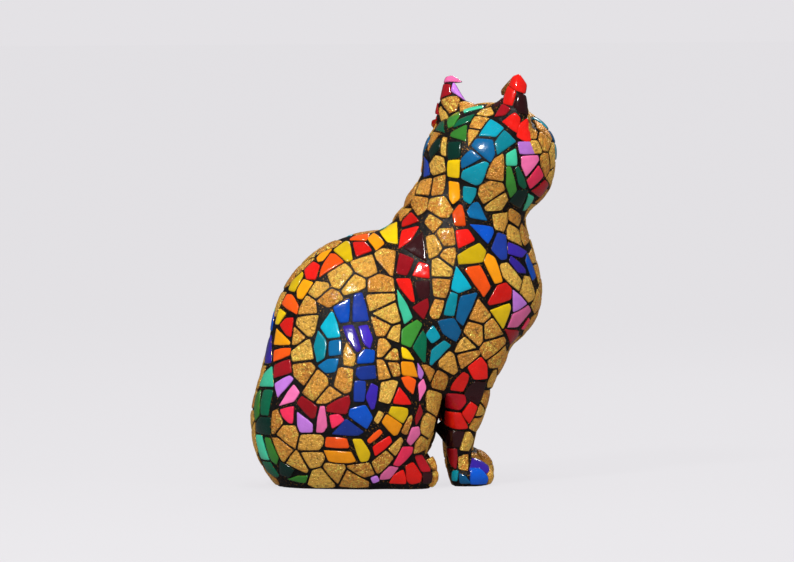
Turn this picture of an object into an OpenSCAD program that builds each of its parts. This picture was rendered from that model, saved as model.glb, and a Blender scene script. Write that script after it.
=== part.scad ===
// A seated cat covered in a mosaic of glass and gold tiles, set in black grout.
// The cat faces -Y with its right side to -X, its head turned to its left. It stands on z = 0.
// The body, head, ears and forelegs are cores, joined with pegs. Tiles stand on the cores, each a
// flat prism of its own, and the tiles of one colour on one part of the cat share a node.

/* [Figure] */
// Height over the ear tips
figure_h = 180; // [140:5:240]

/* [Mosaic] */
// Thickness of a tile
tile_t = 1.6; // [1.2:0.1:2.2]
// Width of the joint between gold tiles
joint_w = 1.4; // [1:0.1:2.2]
// Bed of adhesive between a core and its tiles
bed_t = 0.2; // [0.1:0.05:0.4]
// Least distance between the middles of two filling tiles
fill_gap = 7; // [6.5:0.5:9]

/* [Pegs] */
// Diameter of the neck peg
neck_peg_d = 14; // [10:1:18]
// Diameter of each ear peg
ear_peg_d = 5; // [4:0.5:6]
// Diameter of each foreleg peg
leg_peg_d = 8; // [6:0.5:9]
// Play around a peg, on the radius
peg_play = 0.1; // [0.05:0.05:0.2]

/* [Hidden] */
drawn_h = 180;             // the height that every size below is drawn at
centring_y = -0.22;        // brings the middle of the whole figure's depth to y = 0
inset = tile_t + bed_t;    // how far the cores lie under the tiles' faces
neck_z = 120;              // where the head stands on the neck
elbow_z = 40;              // where the forelegs meet the chest
belly_y = -12;             // the forelegs lie in front of this, the haunches behind it
head_c = [0, -37, 141];
head_turn = 40;
head_front = [sin(head_turn), -cos(head_turn), 0];
head_side = [head_front.y, -head_front.x, 0];
ear_root = [14.5, -3, 10];  // side, front and up from head_c
ear_tip = [19, -3, 36.5];
ear_seat = [17, -3, 18.5];
ear_seat_lean = 30;
ear_root_r = 16;
ear_tip_r = 3;
ear_flat = 0.56;
leg_x = 11.5;
left_leg_dy = -3.5;         // the left foreleg stands a little further forward

PAINT = [
  ["gold", "#d9a441"], ["red", "#e41e14"], ["crimson", "#aa141e"], ["maroon", "#37101a"],
  ["orange", "#f55a0a"], ["amber", "#f5a00a"], ["yellow", "#e1be00"], ["rose", "#e62850"],
  ["pink", "#f06eaa"], ["lavender", "#be78d2"], ["violet", "#3c28aa"], ["navy", "#1e3ca0"],
  ["blue", "#005ac8"], ["turquoise", "#14aabe"], ["teal", "#008291"], ["petrol", "#0a6496"],
  ["mint", "#46c8a0"], ["green", "#3c8232"], ["forest", "#006446"], ["pine", "#003228"],
];
PARTS = ["body", "head", "leg"];
BODY_PAINT = [for (p = PAINT) p[0]];
HEAD_PAINT = ["gold", "red", "crimson", "maroon", "rose", "pink", "lavender", "yellow", "navy",
  "turquoise", "teal", "petrol", "mint", "green", "forest", "pine"];
LEG_PAINT = ["gold", "red", "crimson", "maroon", "rose", "violet", "blue", "teal", "petrol"];
GROUPS = concat(
  [for (c = BODY_PAINT) ["body", c]], [for (c = HEAD_PAINT) ["head", c]], [for (c = LEG_PAINT) ["leg", c]]
);
function group_name(g) = str(g[0], "_", g[1], "_tiles");

// ---- the cat's form, as a distance from its surface ----

function egg(p, c, r) =
  let (q = p - c, a = [q.x / r.x, q.y / r.y, q.z / r.z], k = norm(a))
  k * (k - 1) / max(norm([a.x / r.x, a.y / r.y, a.z / r.z]), 0.001);
function limb(p, a, b, ra, rb) =
  let (ab = b - a, t = min(max((p - a) * ab / (ab * ab), 0), 1))
  norm(p - a - t * ab) - (ra + (rb - ra) * t);
function blend(a, b, k) = let (h = max(k - abs(a - b), 0) / k) min(a, b) - h * h * k / 4;
function other_side(p) = [abs(p.x), p.y, p.z];
function in_head(p) = let (q = p - head_c) [q * head_side, q * head_front, q.z];
function from_head(q) = head_c + q.x * head_side + q.y * head_front + [0, 0, q.z];

function trunk(p) =
  let (rump = blend(egg(p, [0, 12, 63], [32, 47.2, 48.3]), egg(p, [0, 28, 28], [34, 39.5, 40]), 14),
       chest = blend(rump, egg(p, [0, -33, 84], [25, 28.5, 27.5]), 14))
  blend(chest, egg(p, [0, -25, 108], [25, 29, 31]), 14);
function haunched(p, d) = blend(d, egg(other_side(p), [24, 18, 36], [17, 28, 37]), 8);
function hind_paws(p, d) = blend(d, egg(other_side(p), [24, 2, 7], [9, 14, 11]), 4);
function shouldered(p, d) = blend(d, egg(other_side(p), [15, -24, 78], [14, 21, 34]), 12);
function foreleg(p, x, dy) =
  let (knee = [x * 1.05, dy - 24, 37])
  blend(limb(p, [x * 1.05, dy - 28, 58], knee, 15, 10), limb(p, knee, [x, dy - 22, 10], 10, 5.5), 6);
function right_paw(p) = egg(p, [-leg_x, -28, 4], [8.5, 10.5, 8]);
function left_paw(p) = egg(p, [leg_x, -32.5, 5.5], [8.5, 10.5, 9.5]);
function right_leg(p) = blend(foreleg(p, -leg_x, 0), right_paw(p), 4);
function left_leg(p) = blend(foreleg(p, leg_x, left_leg_dy), left_paw(p), 4);
function skull(q) =
  let (brow = blend(egg(q, [0, 0, 0], [29.5, 27, 24.5]), egg(q, [0, 6, 6], [27, 22, 17]), 9),
       cheeks = blend(brow, egg(q, [0, 3.5, -8.5], [25.8, 20.5, 13.5]), 9))
  blend(cheeks, egg(q, [0, 23.5, -7.5], [11.5, 10.5, 8.5]), 9);
function ear(q) =
  let (p = [abs(q.x), ear_root.y + (q.y - ear_root.y) / ear_flat, q.z])
  0.75 * limb(p, ear_root, ear_tip, ear_root_r, ear_tip_r);
function haunches(p) = let (d = shouldered(p, trunk(p))) p.z < 85 ? hind_paws(p, haunched(p, d)) : d;
function headless(p) =
  let (d = haunches(p)) p.z < 85 ? blend(blend(d, right_leg(p), 5), left_leg(p), 5) : d;
function earless(p) = let (d = headless(p)) p.z > 100 ? blend(d, skull(in_head(p)), 9) : d;
function form(p) =
  let (d = earless(p)) max(p.z > 145 ? blend(d, ear(in_head(p)), 5) : d, -p.z);

// Which form a core is cast from
function form_of(kind, p) =
  kind == "cat" ? form(p) : kind == "haunches" ? haunches(p) : kind == "earless" ? earless(p)
  : kind == "right_leg" ? right_leg(p) : left_leg(p);
// From p along dir, on to the surface
function fall(kind, p, dir, level, n = 40) =
  let (d = form_of(kind, p) - level)
  d < 0.01 || n == 0 ? p : fall(kind, p + dir * max(d, 0.02) * 0.95, dir, level, n - 1);
function facing(p) =
  let (e = 0.4, d = form(p), g = [form(p + [e, 0, 0]) - d, form(p + [0, e, 0]) - d, form(p + [0, 0, e]) - d])
  g / norm(g);

// ---- cores ----

// A closed solid through rings of the same number of points, fanned shut at both ends
module skin(rings) {
  n = len(rings[0]);
  m = len(rings);
  mid = function (r) [for (k = [0:2]) [for (p = r) p[k]] * [for (p = r) 1] / n];
  points = concat([for (r = rings) each r], [mid(rings[0]), mid(rings[m - 1])]);
  sides = [for (i = [0:m - 2], j = [0:n - 1])
    let (a = i * n + j, b = i * n + (j + 1) % n)
    each [[a, b, b + n], [a, b + n, a + n]]];
  foot = [for (j = [0:n - 1]) [m * n, (j + 1) % n, j]];
  crown = [for (j = [0:n - 1]) [m * n + 1, (m - 1) * n + j, (m - 1) * n + (j + 1) % n]];
  polyhedron([for (p = points) p], [for (f = concat(sides, foot, crown)) [f[2], f[1], f[0]]]);
}

function level_ring(kind, c, reach, sides, limit) = [for (j = [0:sides - 1])
  let (a = 360 * j / sides, dir = [cos(a), sin(a), 0], hit = fall(kind, c + reach * dir, -dir, -inset),
       r = min((hit - c) * dir, limit(dir)))
  c + max(r, 0.5) * dir];

body_axis = [[0, 28], [30, 28], [60, 8], [90, -12], [105, -16], [112, -22], [neck_z, -27]];
body_low = [0, 1.5, 4, 7, 10, 13.5, 17, 20.5, 24, 27.5, 31, 34, 37, elbow_z];
body_high = concat([elbow_z], [for (z = [43:3.2:99]) z], [for (z = [100.5:1.4:113.1]) z], [115, 117.5, neck_z]);

module body_form() {
  no_limit = function (dir) 99;
  axis = function (z) [0, lookup(z, body_axis), z];
  low = [for (z = body_low)
    level_ring("haunches", axis(z), 90, 64,
      function (dir) dir.y < -0.01 ? (belly_y - axis(z).y) / dir.y : 99)];
  high = [for (z = body_high) level_ring("earless", axis(z), 90, 64, no_limit)];
  skin(concat(low, high));
}

function ear_plane(side) =
  let (m = [sin(ear_seat_lean) * side, 0, cos(ear_seat_lean)], s = [ear_seat.x * side, ear_seat.y, ear_seat.z])
  [m, m * s];
// How far along dir from head_c the head's flat places lie
function head_limit(dir) =
  let (q = [dir * head_side, dir * head_front, dir.z], right = ear_plane(1), left = ear_plane(-1))
  min(dir.z < -0.01 ? (neck_z - head_c.z) / dir.z : 99,
      q * right[0] > 0.01 ? right[1] / (q * right[0]) : 99, q * left[0] > 0.01 ? left[1] / (q * left[0]) : 99);

module head_form() {
  sides = 56;
  step = 5.625;
  ring = function (e) [for (j = [0:sides - 1])
    let (a = 360 * j / sides, dir = [cos(a) * cos(e), sin(a) * cos(e), sin(e)],
         hit = fall("earless", head_c + 48 * dir, -dir, -inset))
    head_c + min((hit - head_c) * dir, head_limit(dir)) * dir];
  skin([for (e = [-90 + step:step:90 - step]) ring(e)]);
}

module ear_form(side) {
  sides = 24;
  levels = 9;
  plane = ear_plane(side);
  ring = function (t) let (
      c = ear_root + (ear_tip - ear_root) * t, r = ear_root_r + (ear_tip_r - ear_root_r) * t - 2.4 / 1.8 * inset)
    [for (j = [0:sides - 1]) let (a = 360 * j / sides)
      [(c.x + r * cos(a)) * side, c.y + ear_flat * r * sin(a), c.z]];
  seat = [for (q = ring(0.32)) [q.x, q.y, (plane[1] - plane[0].x * q.x) / plane[0].z + 0.05]];
  rings = concat([seat], [for (k = [0:levels]) ring(0.62 + (0.97 - 0.62) * k / levels)]);
  placed = [for (r = rings) [for (q = r) from_head(q)]];
  skin(side < 0 ? [for (r = placed) [for (j = [sides - 1:-1:0]) r[j]]] : placed);
}

// A foreleg, cut off at the haunches and at the middle of the body
module leg_form(kind, x, dy) {
  axis = function (z) [x, dy - (z < 12 ? 26 : 24), z];
  limit = function (c) function (dir) min(dir.y > 0.01 ? (belly_y - c.y) / dir.y : 99,
    dir.x * x < -0.01 ? abs(x) / abs(dir.x) : 99);
  skin([for (z = [0, 1, 2.5, 4.5, 7, 9.5, 12, 16, 20, 25, 30, 35, elbow_z])
    level_ring(kind, axis(z), 40, 24, limit(axis(z)))]);
}

// ---- pegs ----

function ear_peg_foot(side) = from_head([ear_seat.x * side, ear_seat.y, ear_seat.z - 9]);
module neck_bore(play) translate([0, -32, neck_z - 14]) cylinder(d = neck_peg_d + 2 * play, h = 28, $fn = 48);
module ear_bore(side, play) translate(ear_peg_foot(side)) cylinder(d = ear_peg_d + 2 * play, h = 18, $fn = 32);
module leg_bore(x, dy, play)
  translate([x, dy - 25, elbow_z - 12]) cylinder(d = leg_peg_d + 2 * play, h = 24, $fn = 32);

module body_core() color("#141214") difference() {
  body_form();
  neck_bore(peg_play);
  leg_bore(-leg_x, 0, peg_play);
  leg_bore(leg_x, left_leg_dy, peg_play);
}
module head_core() color("#141214") difference() {
  head_form();
  neck_bore(peg_play);
  ear_bore(1, peg_play);
  ear_bore(-1, peg_play);
}
module ear_core(side) color("#141214") difference() {
  ear_form(side);
  ear_bore(side, peg_play);
}
module foreleg_core(kind, x, dy) color("#141214") difference() {
  leg_form(kind, x, dy);
  leg_bore(x, dy, peg_play);
}
module neck_peg() color("#b58a5a") neck_bore(0);
module ear_pegs() color("#b58a5a") for (side = [-1, 1]) ear_bore(side, 0);
module foreleg_pegs() color("#b58a5a") {
  leg_bore(-leg_x, 0, 0);
  leg_bore(leg_x, left_leg_dy, 0);
}

// ---- the drawing of the mosaic ----

// A lookout is the direction to the eye, the drawing's right and up, and the drawing's origin.
function lookout(az, el, origin) = [
  [sin(az) * cos(el), -cos(az) * cos(el), sin(el)], [cos(az), sin(az), 0],
  [-sin(az) * sin(el), cos(az) * sin(el), cos(el)], origin];
flank = lookout(260, 3, [0, 0, 0]);
temple = lookout(345, 0, head_c);
face = lookout(head_turn, 0, head_c);
function across_body(v) = [for (p = v) [-p.x, p.y, p.z]];
function head_flip(d) = d - 2 * (d * head_side) * head_side;
function across_head(v) = [head_flip(v[0]), head_flip(v[1]), v[2], head_c + head_flip(v[3] - head_c)];

// Each glass tile is its colour and its corners, right and up in the drawing.
BODY_TILES = [
  // the sunset scroll, from the shoulder round the haunch
  ["yellow", [[-10.5, 111], [-7.5, 107], [-3.5, 107.5], [-3, 115], [-7, 115]]],
  ["amber", [[-15.5, 108], [-13, 111], [-8.5, 106], [-12, 103.5]]],
  ["red", [[-22, 106.5], [-17, 106.5], [-14, 103], [-20.5, 100.5]]],
  ["orange", [[-23.5, 107.5], [-22, 109], [-15, 110.5], [-16.5, 107.5]]],
  ["yellow", [[-30.5, 103], [-25.5, 107.5], [-24, 107], [-22.5, 99.5], [-25, 98.5]]],
  ["amber", [[-38, 99.5], [-36, 101.5], [-31.5, 103.5], [-35.5, 98.5], [-37.5, 98]]],
  ["orange", [[-32, 101.5], [-30, 101], [-26.5, 98], [-37, 91.5], [-36, 95]]],
  ["red", [[-40, 98], [-37, 96], [-39, 90.5], [-42.5, 90.5], [-43.5, 94.5]]],
  ["yellow", [[-44.5, 93.5], [-44.5, 91.5], [-48, 85], [-50.5, 85.5], [-49, 89]]],
  ["amber", [[-44, 90], [-40, 88.5], [-44.5, 81.5], [-46.5, 82], [-46.5, 85]]],
  ["orange", [[-51.5, 83.5], [-49, 83], [-46.5, 78.5], [-47.5, 75], [-54, 79.5]]],
  ["yellow", [[-54.5, 77], [-52, 75], [-55, 70.5], [-56.5, 70.5]]],
  ["red", [[-48.5, 73], [-49.5, 65], [-51, 65.5], [-54.5, 70], [-51.5, 72.5]]],
  ["amber", [[-56, 68.5], [-50.5, 63], [-50.5, 61.5], [-57, 61.5]]],
  ["orange", [[-57, 59], [-50, 60], [-50.5, 57], [-57, 54]]],
  ["crimson", [[-57, 52.5], [-50, 55], [-49.5, 49.5], [-57, 47]]],
  ["lavender", [[-56.5, 44.5], [-50, 48], [-48.5, 46.5], [-55, 38.5]]],
  ["pink", [[-48, 44], [-45.5, 40.5], [-48, 37], [-54.5, 35]]],
  ["rose", [[-54, 33], [-48, 34.5], [-48.5, 27.5], [-50, 27.5], [-52.5, 30]]],
  ["crimson", [[-44.5, 39], [-38, 34.5], [-39, 30], [-40.5, 29.5], [-46.5, 36]]],
  ["lavender", [[-46.5, 32], [-40, 27], [-40, 23.5], [-45, 23.5], [-46, 26]]],
  ["pink", [[-36.5, 34.5], [-34.5, 34.5], [-33.5, 26], [-35, 23.5], [-38, 23.5]]],
  ["crimson", [[-33.5, 32.5], [-33, 35], [-24, 39.5], [-23.5, 36], [-25, 31.5]]],
  ["rose", [[-32, 30.5], [-28, 31], [-26, 28.5], [-31, 25]]],
  ["navy", [[-25, 29], [-17.5, 23.5], [-20, 22], [-31, 22.5], [-27, 26.5]]],
  // the sea scroll inside it
  ["navy", [[-21.5, 83], [-18, 84], [-15, 72], [-22, 71.5]]],
  ["blue", [[-23.5, 81.5], [-24, 71.5], [-27.5, 71], [-30.5, 77.5]]],
  ["turquoise", [[-31.5, 75.5], [-30.5, 75], [-27.5, 65], [-33, 64.5], [-36, 69]]],
  ["teal", [[-37, 67.5], [-34, 63], [-34.5, 56], [-38, 54], [-39, 61]]],
  ["petrol", [[-32.5, 63], [-27.5, 63.5], [-27.5, 57.5], [-32.5, 57]]],
  ["petrol", [[-33, 55], [-28.5, 55.5], [-30, 50], [-34, 49.5], [-37.5, 52.5]]],
  ["violet", [[-26.5, 69.5], [-22, 70], [-18.5, 60], [-20.5, 58.5], [-25, 65.5]]],
  ["violet", [[-19.5, 69.5], [-15.5, 70], [-13.5, 64], [-14.5, 60], [-17, 62]]],
  ["blue", [[-17, 59.5], [-12.5, 59], [-13, 54], [-20, 53.5], [-19.5, 56.5]]],
  ["navy", [[-20, 51.5], [-12.5, 52.5], [-12, 47], [-18.5, 46.5], [-20.5, 48.5]]],
  ["navy", [[-21, 45.5], [-16.5, 45.5], [-17, 37], [-21.5, 37]]],
  ["violet", [[-14, 44.5], [-11, 43], [-12.5, 34], [-14, 33.5], [-16, 38.5]]],
  ["blue", [[-23, 33.5], [-16.5, 35], [-13.5, 30], [-16, 25], [-23.5, 30.5]]],
  // the low scroll, from the foot of the haunch up its front
  ["orange", [[-33.5, 21], [-25, 20.5], [-24, 16.5], [-34, 17]]],
  ["amber", [[-34.5, 15], [-23, 14.5], [-21, 10.5], [-24, 10], [-32.5, 10.5]]],
  ["yellow", [[-22, 20], [-18, 20], [-14.5, 14], [-15.5, 11], [-18.5, 10.5]]],
  ["orange", [[-15.5, 20], [-10.5, 24.5], [-9, 23], [-14.5, 18.5]]],
  ["red", [[-13, 17], [-6, 21.5], [-5, 19], [-12, 13]]],
  ["amber", [[-7, 31], [-9, 27.5], [-4, 22], [-2.5, 22.5], [-0.5, 26.5], [-4, 29]]],
  ["yellow", [[-5, 34.5], [2, 33.5], [2, 31], [0, 27.5], [-6, 31.5]]],
  ["red", [[-1.5, 43], [3.5, 36], [3, 35.5], [-4, 36], [-3.5, 38]]],
  ["orange", [[-0.5, 47], [2.5, 47.5], [5.5, 46], [4.5, 40], [1.5, 43]]],
  ["amber", [[-0.5, 54], [4.5, 53.5], [6.5, 47.5], [0, 48.5]]],
  ["yellow", [[-0.5, 60.5], [1.5, 59.5], [5, 55], [0, 56]]],
  // the front edge of the haunch
  ["lavender", [[6.5, 53.5], [9, 49], [8, 46.5], [7, 47.5]]],
  ["pink", [[9, 46.5], [10, 42.5], [7.5, 37], [7, 44]]],
  ["crimson", [[7.5, 35.5], [8.5, 32], [6, 26.5], [5.5, 29]]],
  ["pink", [[4, 25], [7, 25.5], [7.5, 22.5], [3.5, 17.5], [2, 19.5]]],
  ["rose", [[0, 16.5], [4.5, 16.5], [4, 14], [-1.5, 8.5], [-4, 9]]],
  ["pink", [[-6, 8], [-2, 7.5], [-6, 3], [-10, 2.5], [-9.5, 4.5]]],
  ["lavender", [[-14, 3.2], [-11.5, 4], [-10.5, 2], [-13, 1]]],
  // the hind paw
  ["red", [[0, 6.5], [1, 3], [1, 0.8], [-6, 0.8], [-4, 4.5]]],
  ["red", [[1, 8.5], [4.5, 10], [8, 4.5], [7.5, 1.5], [3.5, 0.8], [2, 2]]],
  ["crimson", [[5, 13], [8.5, 13.5], [12, 7.5], [11.5, 6.5], [8.5, 6.5]]],
  ["maroon", [[9, 5.5], [13, 5.5], [12.5, 1], [9, 1]]],
  // the shoulder, from the back down to the crease
  ["red", [[-1, 115.5], [3, 119], [6, 115.5], [-1, 113]]],
  ["red", [[-1, 111.5], [7, 113], [2.6, 107.2], [-2, 103]]],
  ["maroon", [[8, 110.5], [9.5, 98], [0, 103.5]]],
  ["crimson", [[-1.5, 101.5], [4.5, 98.5], [1.5, 92], [-3, 92.5]]],
  ["red", [[6.5, 97.5], [10.5, 96], [11, 90.5], [4, 91.5]]],
  ["red", [[-3, 90], [3, 90], [5, 80.5], [3.5, 80.5], [-1.5, 86.5]]],
  ["maroon", [[5, 88.5], [11, 89], [11, 82], [7, 81.5]]],
  ["crimson", [[10.5, 81.5], [11, 78], [9, 72.5], [4, 77.5]]],
  ["mint", [[-2.5, 85.5], [0.5, 80.5], [4, 73.5], [0.5, 70.5], [-2, 80]]],
  ["green", [[5.5, 72], [8, 70], [3.5, 60.5], [-0.5, 62], [0, 68]]],
  ["forest", [[8.5, 67.5], [10, 64.5], [10, 54], [9, 54], [4.5, 60]]],
  ["turquoise", [[23, 95.5], [29.5, 86], [24, 84], [21, 85.5]]],
  ["teal", [[20.5, 84], [23.5, 83], [22, 74], [17.5, 74.5]]],
  ["petrol", [[25, 82], [32.5, 84], [26, 69.5], [23, 72.5]]],
  ["petrol", [[15, 71.5], [22, 72.5], [25, 67], [23, 62.5], [17.5, 66]]],
  ["turquoise", [[13, 69.5], [16, 64.5], [12.5, 62], [10, 65.5]]],
  ["teal", [[17.5, 63], [20.5, 61], [12.5, 52.5], [11.5, 53], [12.5, 58.5]]],
  // the neck, down to the chest
  ["amber", [[19.5, 132.5], [24, 131.5], [24, 125], [21.5, 122.5], [20, 125]]],
  ["orange", [[24, 122.5], [25.5, 122], [27, 113.5], [22.5, 113.5], [21.5, 118.5]]],
  ["red", [[23, 111], [28, 111.5], [31, 107], [24, 103.5]]],
  ["yellow", [[24, 100.5], [33, 105.5], [36, 102], [34.5, 97.5], [24.5, 96.5]]],
  ["orange", [[26.5, 94.5], [33.5, 95.5], [38, 86.5], [35, 82], [33.5, 84.5]]],
  ["amber", [[37, 101], [40, 99], [43.5, 89], [40, 88], [35.5, 97.5]]],
  ["red", [[41.5, 87], [45, 88], [47.5, 85.5], [47, 81], [36.5, 78]]],
  ["yellow", [[38.5, 76], [46.5, 79], [47, 77], [44, 68]]],
  ["lavender", [[48.5, 85], [54.5, 79], [48.5, 75.5]]],
  ["pink", [[55, 78], [56.5, 75.5], [50.5, 69], [46.5, 68.5], [48.5, 74]]],
  ["rose", [[55, 72.5], [55.5, 71.5], [53.5, 67.5], [52, 68]]],
  ["crimson", [[46, 67], [50.5, 67], [51, 64], [47, 61]]],
  ["petrol", [[32.5, 123.5], [36.5, 115.5], [29, 117], [28, 119.5], [30, 122.5]]],
  ["blue", [[29.5, 114], [39, 112.5], [39.5, 110.5], [37, 105.5]]],
  ["navy", [[41.5, 110], [45, 109], [45.5, 99], [43, 98.5], [39, 103]]],
  ["violet", [[46.5, 106], [55, 102], [52, 99.5], [46.5, 101]]],
  ["violet", [[47.5, 100], [53.5, 94.5], [54, 92.5], [50.5, 93], [47, 97.5]]],
  ["blue", [[54.5, 101], [58.5, 91], [57, 89.5], [54, 97.5]]],
];
// The cool edge that runs down the back, on one side only
BACK_TILES = [
  ["blue", [[-57, 76], [-56.8, 72], [-57.5, 67.5], [-59, 68], [-58.5, 72]]],
  ["violet", [[-58, 65.5], [-58, 53.5], [-61, 53.5], [-61.3, 60], [-59.5, 64]]],
  ["mint", [[-58, 52], [-58, 43.5], [-63.5, 43.5], [-61.5, 48.5]]],
  ["green", [[-62.8, 41.5], [-63.2, 35.5], [-63.5, 31], [-65.5, 28.5], [-65.9, 34.5], [-64.8, 40]]],
  ["forest", [[-61.3, 41.5], [-57.5, 41.5], [-58.5, 37], [-59.5, 31], [-62.5, 31], [-62.5, 36]]],
  ["pine", [[-63, 29.5], [-59, 29.5], [-59, 22], [-65, 23.5], [-64.8, 27]]],
  ["mint", [[-65, 21.5], [-62.5, 21.5], [-59.5, 11], [-63, 11.5]]],
  ["green", [[-61, 20.5], [-58.5, 20], [-55, 12], [-56, 9], [-58, 10.5]]],
  ["forest", [[-62, 9.8], [-58.5, 9.5], [-55, 4], [-56, 3.2], [-60, 5.8]]],
  ["pine", [[-54, 10], [-48, 6.5], [-50, 3.5], [-54, 4.5]]],
  ["green", [[-51, 2.2], [-46, 3.8], [-42, 4], [-43, 1]]],
];
HEAD_TILES = [
  ["mint", [[26, 164.5], [34.5, 166.3], [34, 165], [26.5, 163]]],
  ["green", [[19, 160.5], [23.5, 164], [24, 161.5], [21.5, 157.5], [19, 156.5]]],
  ["forest", [[24, 159.5], [30.5, 162.5], [28.5, 159], [21.5, 156.5]]],
  ["green", [[27, 157.5], [26.5, 150.5], [20, 152.5], [21, 154]]],
  ["forest", [[15, 159.5], [17, 159.5], [17.5, 154], [13.5, 155.5]]],
  ["pine", [[14, 151], [15.5, 151], [15, 147], [11, 142.5], [10.5, 145.5]]],
  ["pine", [[19, 149.5], [24.5, 149.5], [24, 143], [19, 142]]],
  ["yellow", [[19, 141], [24, 141.5], [23.5, 134], [19, 134.5]]],
  ["turquoise", [[38, 160], [43.5, 156], [40, 152.5], [33, 153]]],
  ["teal", [[44, 155], [49, 150], [41, 144.5], [40, 149.5]]],
  ["petrol", [[31.5, 151], [38.5, 150.5], [39.5, 144.5], [37.5, 141], [29.5, 148]]],
  ["petrol", [[29, 146], [33.5, 142.5], [25, 138], [25, 142]]],
  ["turquoise", [[34.5, 140.5], [36.5, 139.5], [33.5, 131.5], [31.5, 130.5], [25, 133.5], [25.5, 136.5]]],
  ["teal", [[26, 130], [31.5, 129], [31, 126.5], [29, 122.5], [26, 124.5]]],
  // the cheek
  ["lavender", [[50.5, 149.5], [56, 149.5], [58, 144.5], [51, 144.5]]],
  ["pink", [[52, 143], [59, 143.5], [59.5, 141.5], [54, 134.5], [52, 139]]],
  ["rose", [[59.5, 139], [61.5, 134.5], [56, 129], [54.5, 132.5]]],
  ["crimson", [[62.5, 132.5], [64, 130.5], [60.5, 125], [57, 127.5]]],
  ["mint", [[45, 144], [49, 146.5], [49.5, 139.5], [45, 139.5]]],
  ["green", [[45, 138], [47, 138], [49.5, 128], [47, 124.5], [45, 130]]],
  ["forest", [[49, 137.5], [50.5, 138.5], [54, 130], [53, 128.5], [50.5, 131]]],
  ["pine", [[50, 127.5], [54.5, 128], [51, 120], [46.5, 123]]],
  ["mint", [[55, 126], [57, 125], [54, 119], [52.5, 119]]],
  // the back of the right ear
  ["red", [[50.5, 179], [53, 175], [52.5, 171], [49, 172], [45.5, 174.5], [47.5, 178]]],
  ["red", [[45, 174], [48.5, 171.5], [47, 165.5], [43.5, 166.5], [44, 170.5]]],
  ["maroon", [[42.3, 169.5], [42.2, 167], [40, 165], [39.5, 166.5]]],
  ["maroon", [[50.5, 170.5], [53.5, 170], [54.5, 162], [50.5, 162.5], [48, 165.5]]],
  ["crimson", [[43, 165.8], [46.5, 164], [43.5, 161.5], [39, 161]]],
  ["red", [[48.5, 162], [50.5, 160], [49, 154], [42.5, 159]]],
  ["red", [[54, 160], [55, 159], [56.5, 151.5], [54, 150.5], [50, 152.5], [51, 157.5]]],
];
// The back of the left ear and the far cheek, which only the far side has
FAR_HEAD_TILES = [
  ["pink", [[20.5, 179], [23.5, 177], [20, 176.5], [16.5, 176], [17.5, 178.5]]],
  ["crimson", [[16.5, 175.3], [19.5, 175], [19.5, 171], [15, 168.5]]],
  ["lavender", [[22, 176], [24.5, 175], [28.5, 169], [26.5, 169], [21.5, 173]]],
  ["navy", [[8, 143.5], [10, 141], [10.5, 135.5], [8.5, 134.5]]],
];
LEG_TILES = [
  ["red", [[34, 55.5], [36.5, 52], [37, 46], [31, 46], [28.5, 51]]],
  ["red", [[26, 49], [28.5, 47.5], [28, 45], [26, 41], [20.5, 41.5], [21.5, 44]]],
  ["maroon", [[31.5, 45], [36.5, 44.5], [35, 39.5], [32.5, 35], [27.5, 38.5], [28.5, 41.5]]],
  ["crimson", [[18.5, 40], [26.5, 39], [27, 36], [24.5, 33], [18, 33.5]]],
  ["red", [[29.5, 36], [32.5, 33.5], [29, 26.5], [26, 31]]],
  ["red", [[17.5, 31.5], [24.5, 31], [27, 25], [27, 24], [17, 25.5]]],
  ["maroon", [[15.5, 24], [27, 22.5], [23.5, 16.5], [16.5, 16.5]]],
  ["crimson", [[17.5, 15.5], [22.5, 15.5], [22.5, 7], [20.5, 9]]],
  ["teal", [[21, 6], [23, 6], [23, 2], [20.5, 2]]],
  ["petrol", [[24, 5], [26.5, 4], [29, 0.8], [24.5, 0.8]]],
  ["blue", [[30, 7.6], [34, 7.2], [37.5, 3], [37, 0.8], [30, 0.8]]],
  ["violet", [[30.5, 14], [37.5, 10], [38.5, 7.6], [30, 9.4]]],
];
// The face, drawn from straight in front of it: its right half, across from its middle
FACE_TILES = [
  ["navy", [[-12, 6.5], [-10.4, 6.5], [-10.4, -0.5], [-12, -0.5]]],
  ["mint", [[-13, 6.2], [-13, 0], [-17, 3.6]]],
  ["mint", [[-9.4, 6.2], [-9.4, 0], [-5.5, 2]]],
  ["red", [[-0.8, 13], [-0.8, 20], [-4, 20], [-5.4, 15]]],
  ["pink", [[-13.8, 19.6], [-18.8, 19.6], [-17.5, 27.5], [-16, 28]]],
];

FACE_MIDDLE_TILES = [
  ["rose", [[3, -3], [3.6, -3.8], [1, -7.5], [-1, -7.5], [-3.6, -3.8], [-3, -3]]],
  ["turquoise", [[0, 11], [2.8, 7], [0, 3], [-2.8, 7]]],
];

// Between the right cheek and the right eye
TEMPLE_TILES = [
  ["turquoise", [[-3, 20.5], [3, 19.5], [3, 15], [-2.5, 15.5]]],
  ["petrol", [[-2.5, 14], [4, 13.5], [4.5, 8.5], [-1.5, 9.5]]],
  ["turquoise", [[-1.5, 8], [4.5, 7], [4, 1], [-2.5, 1.5]]],
];

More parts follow.
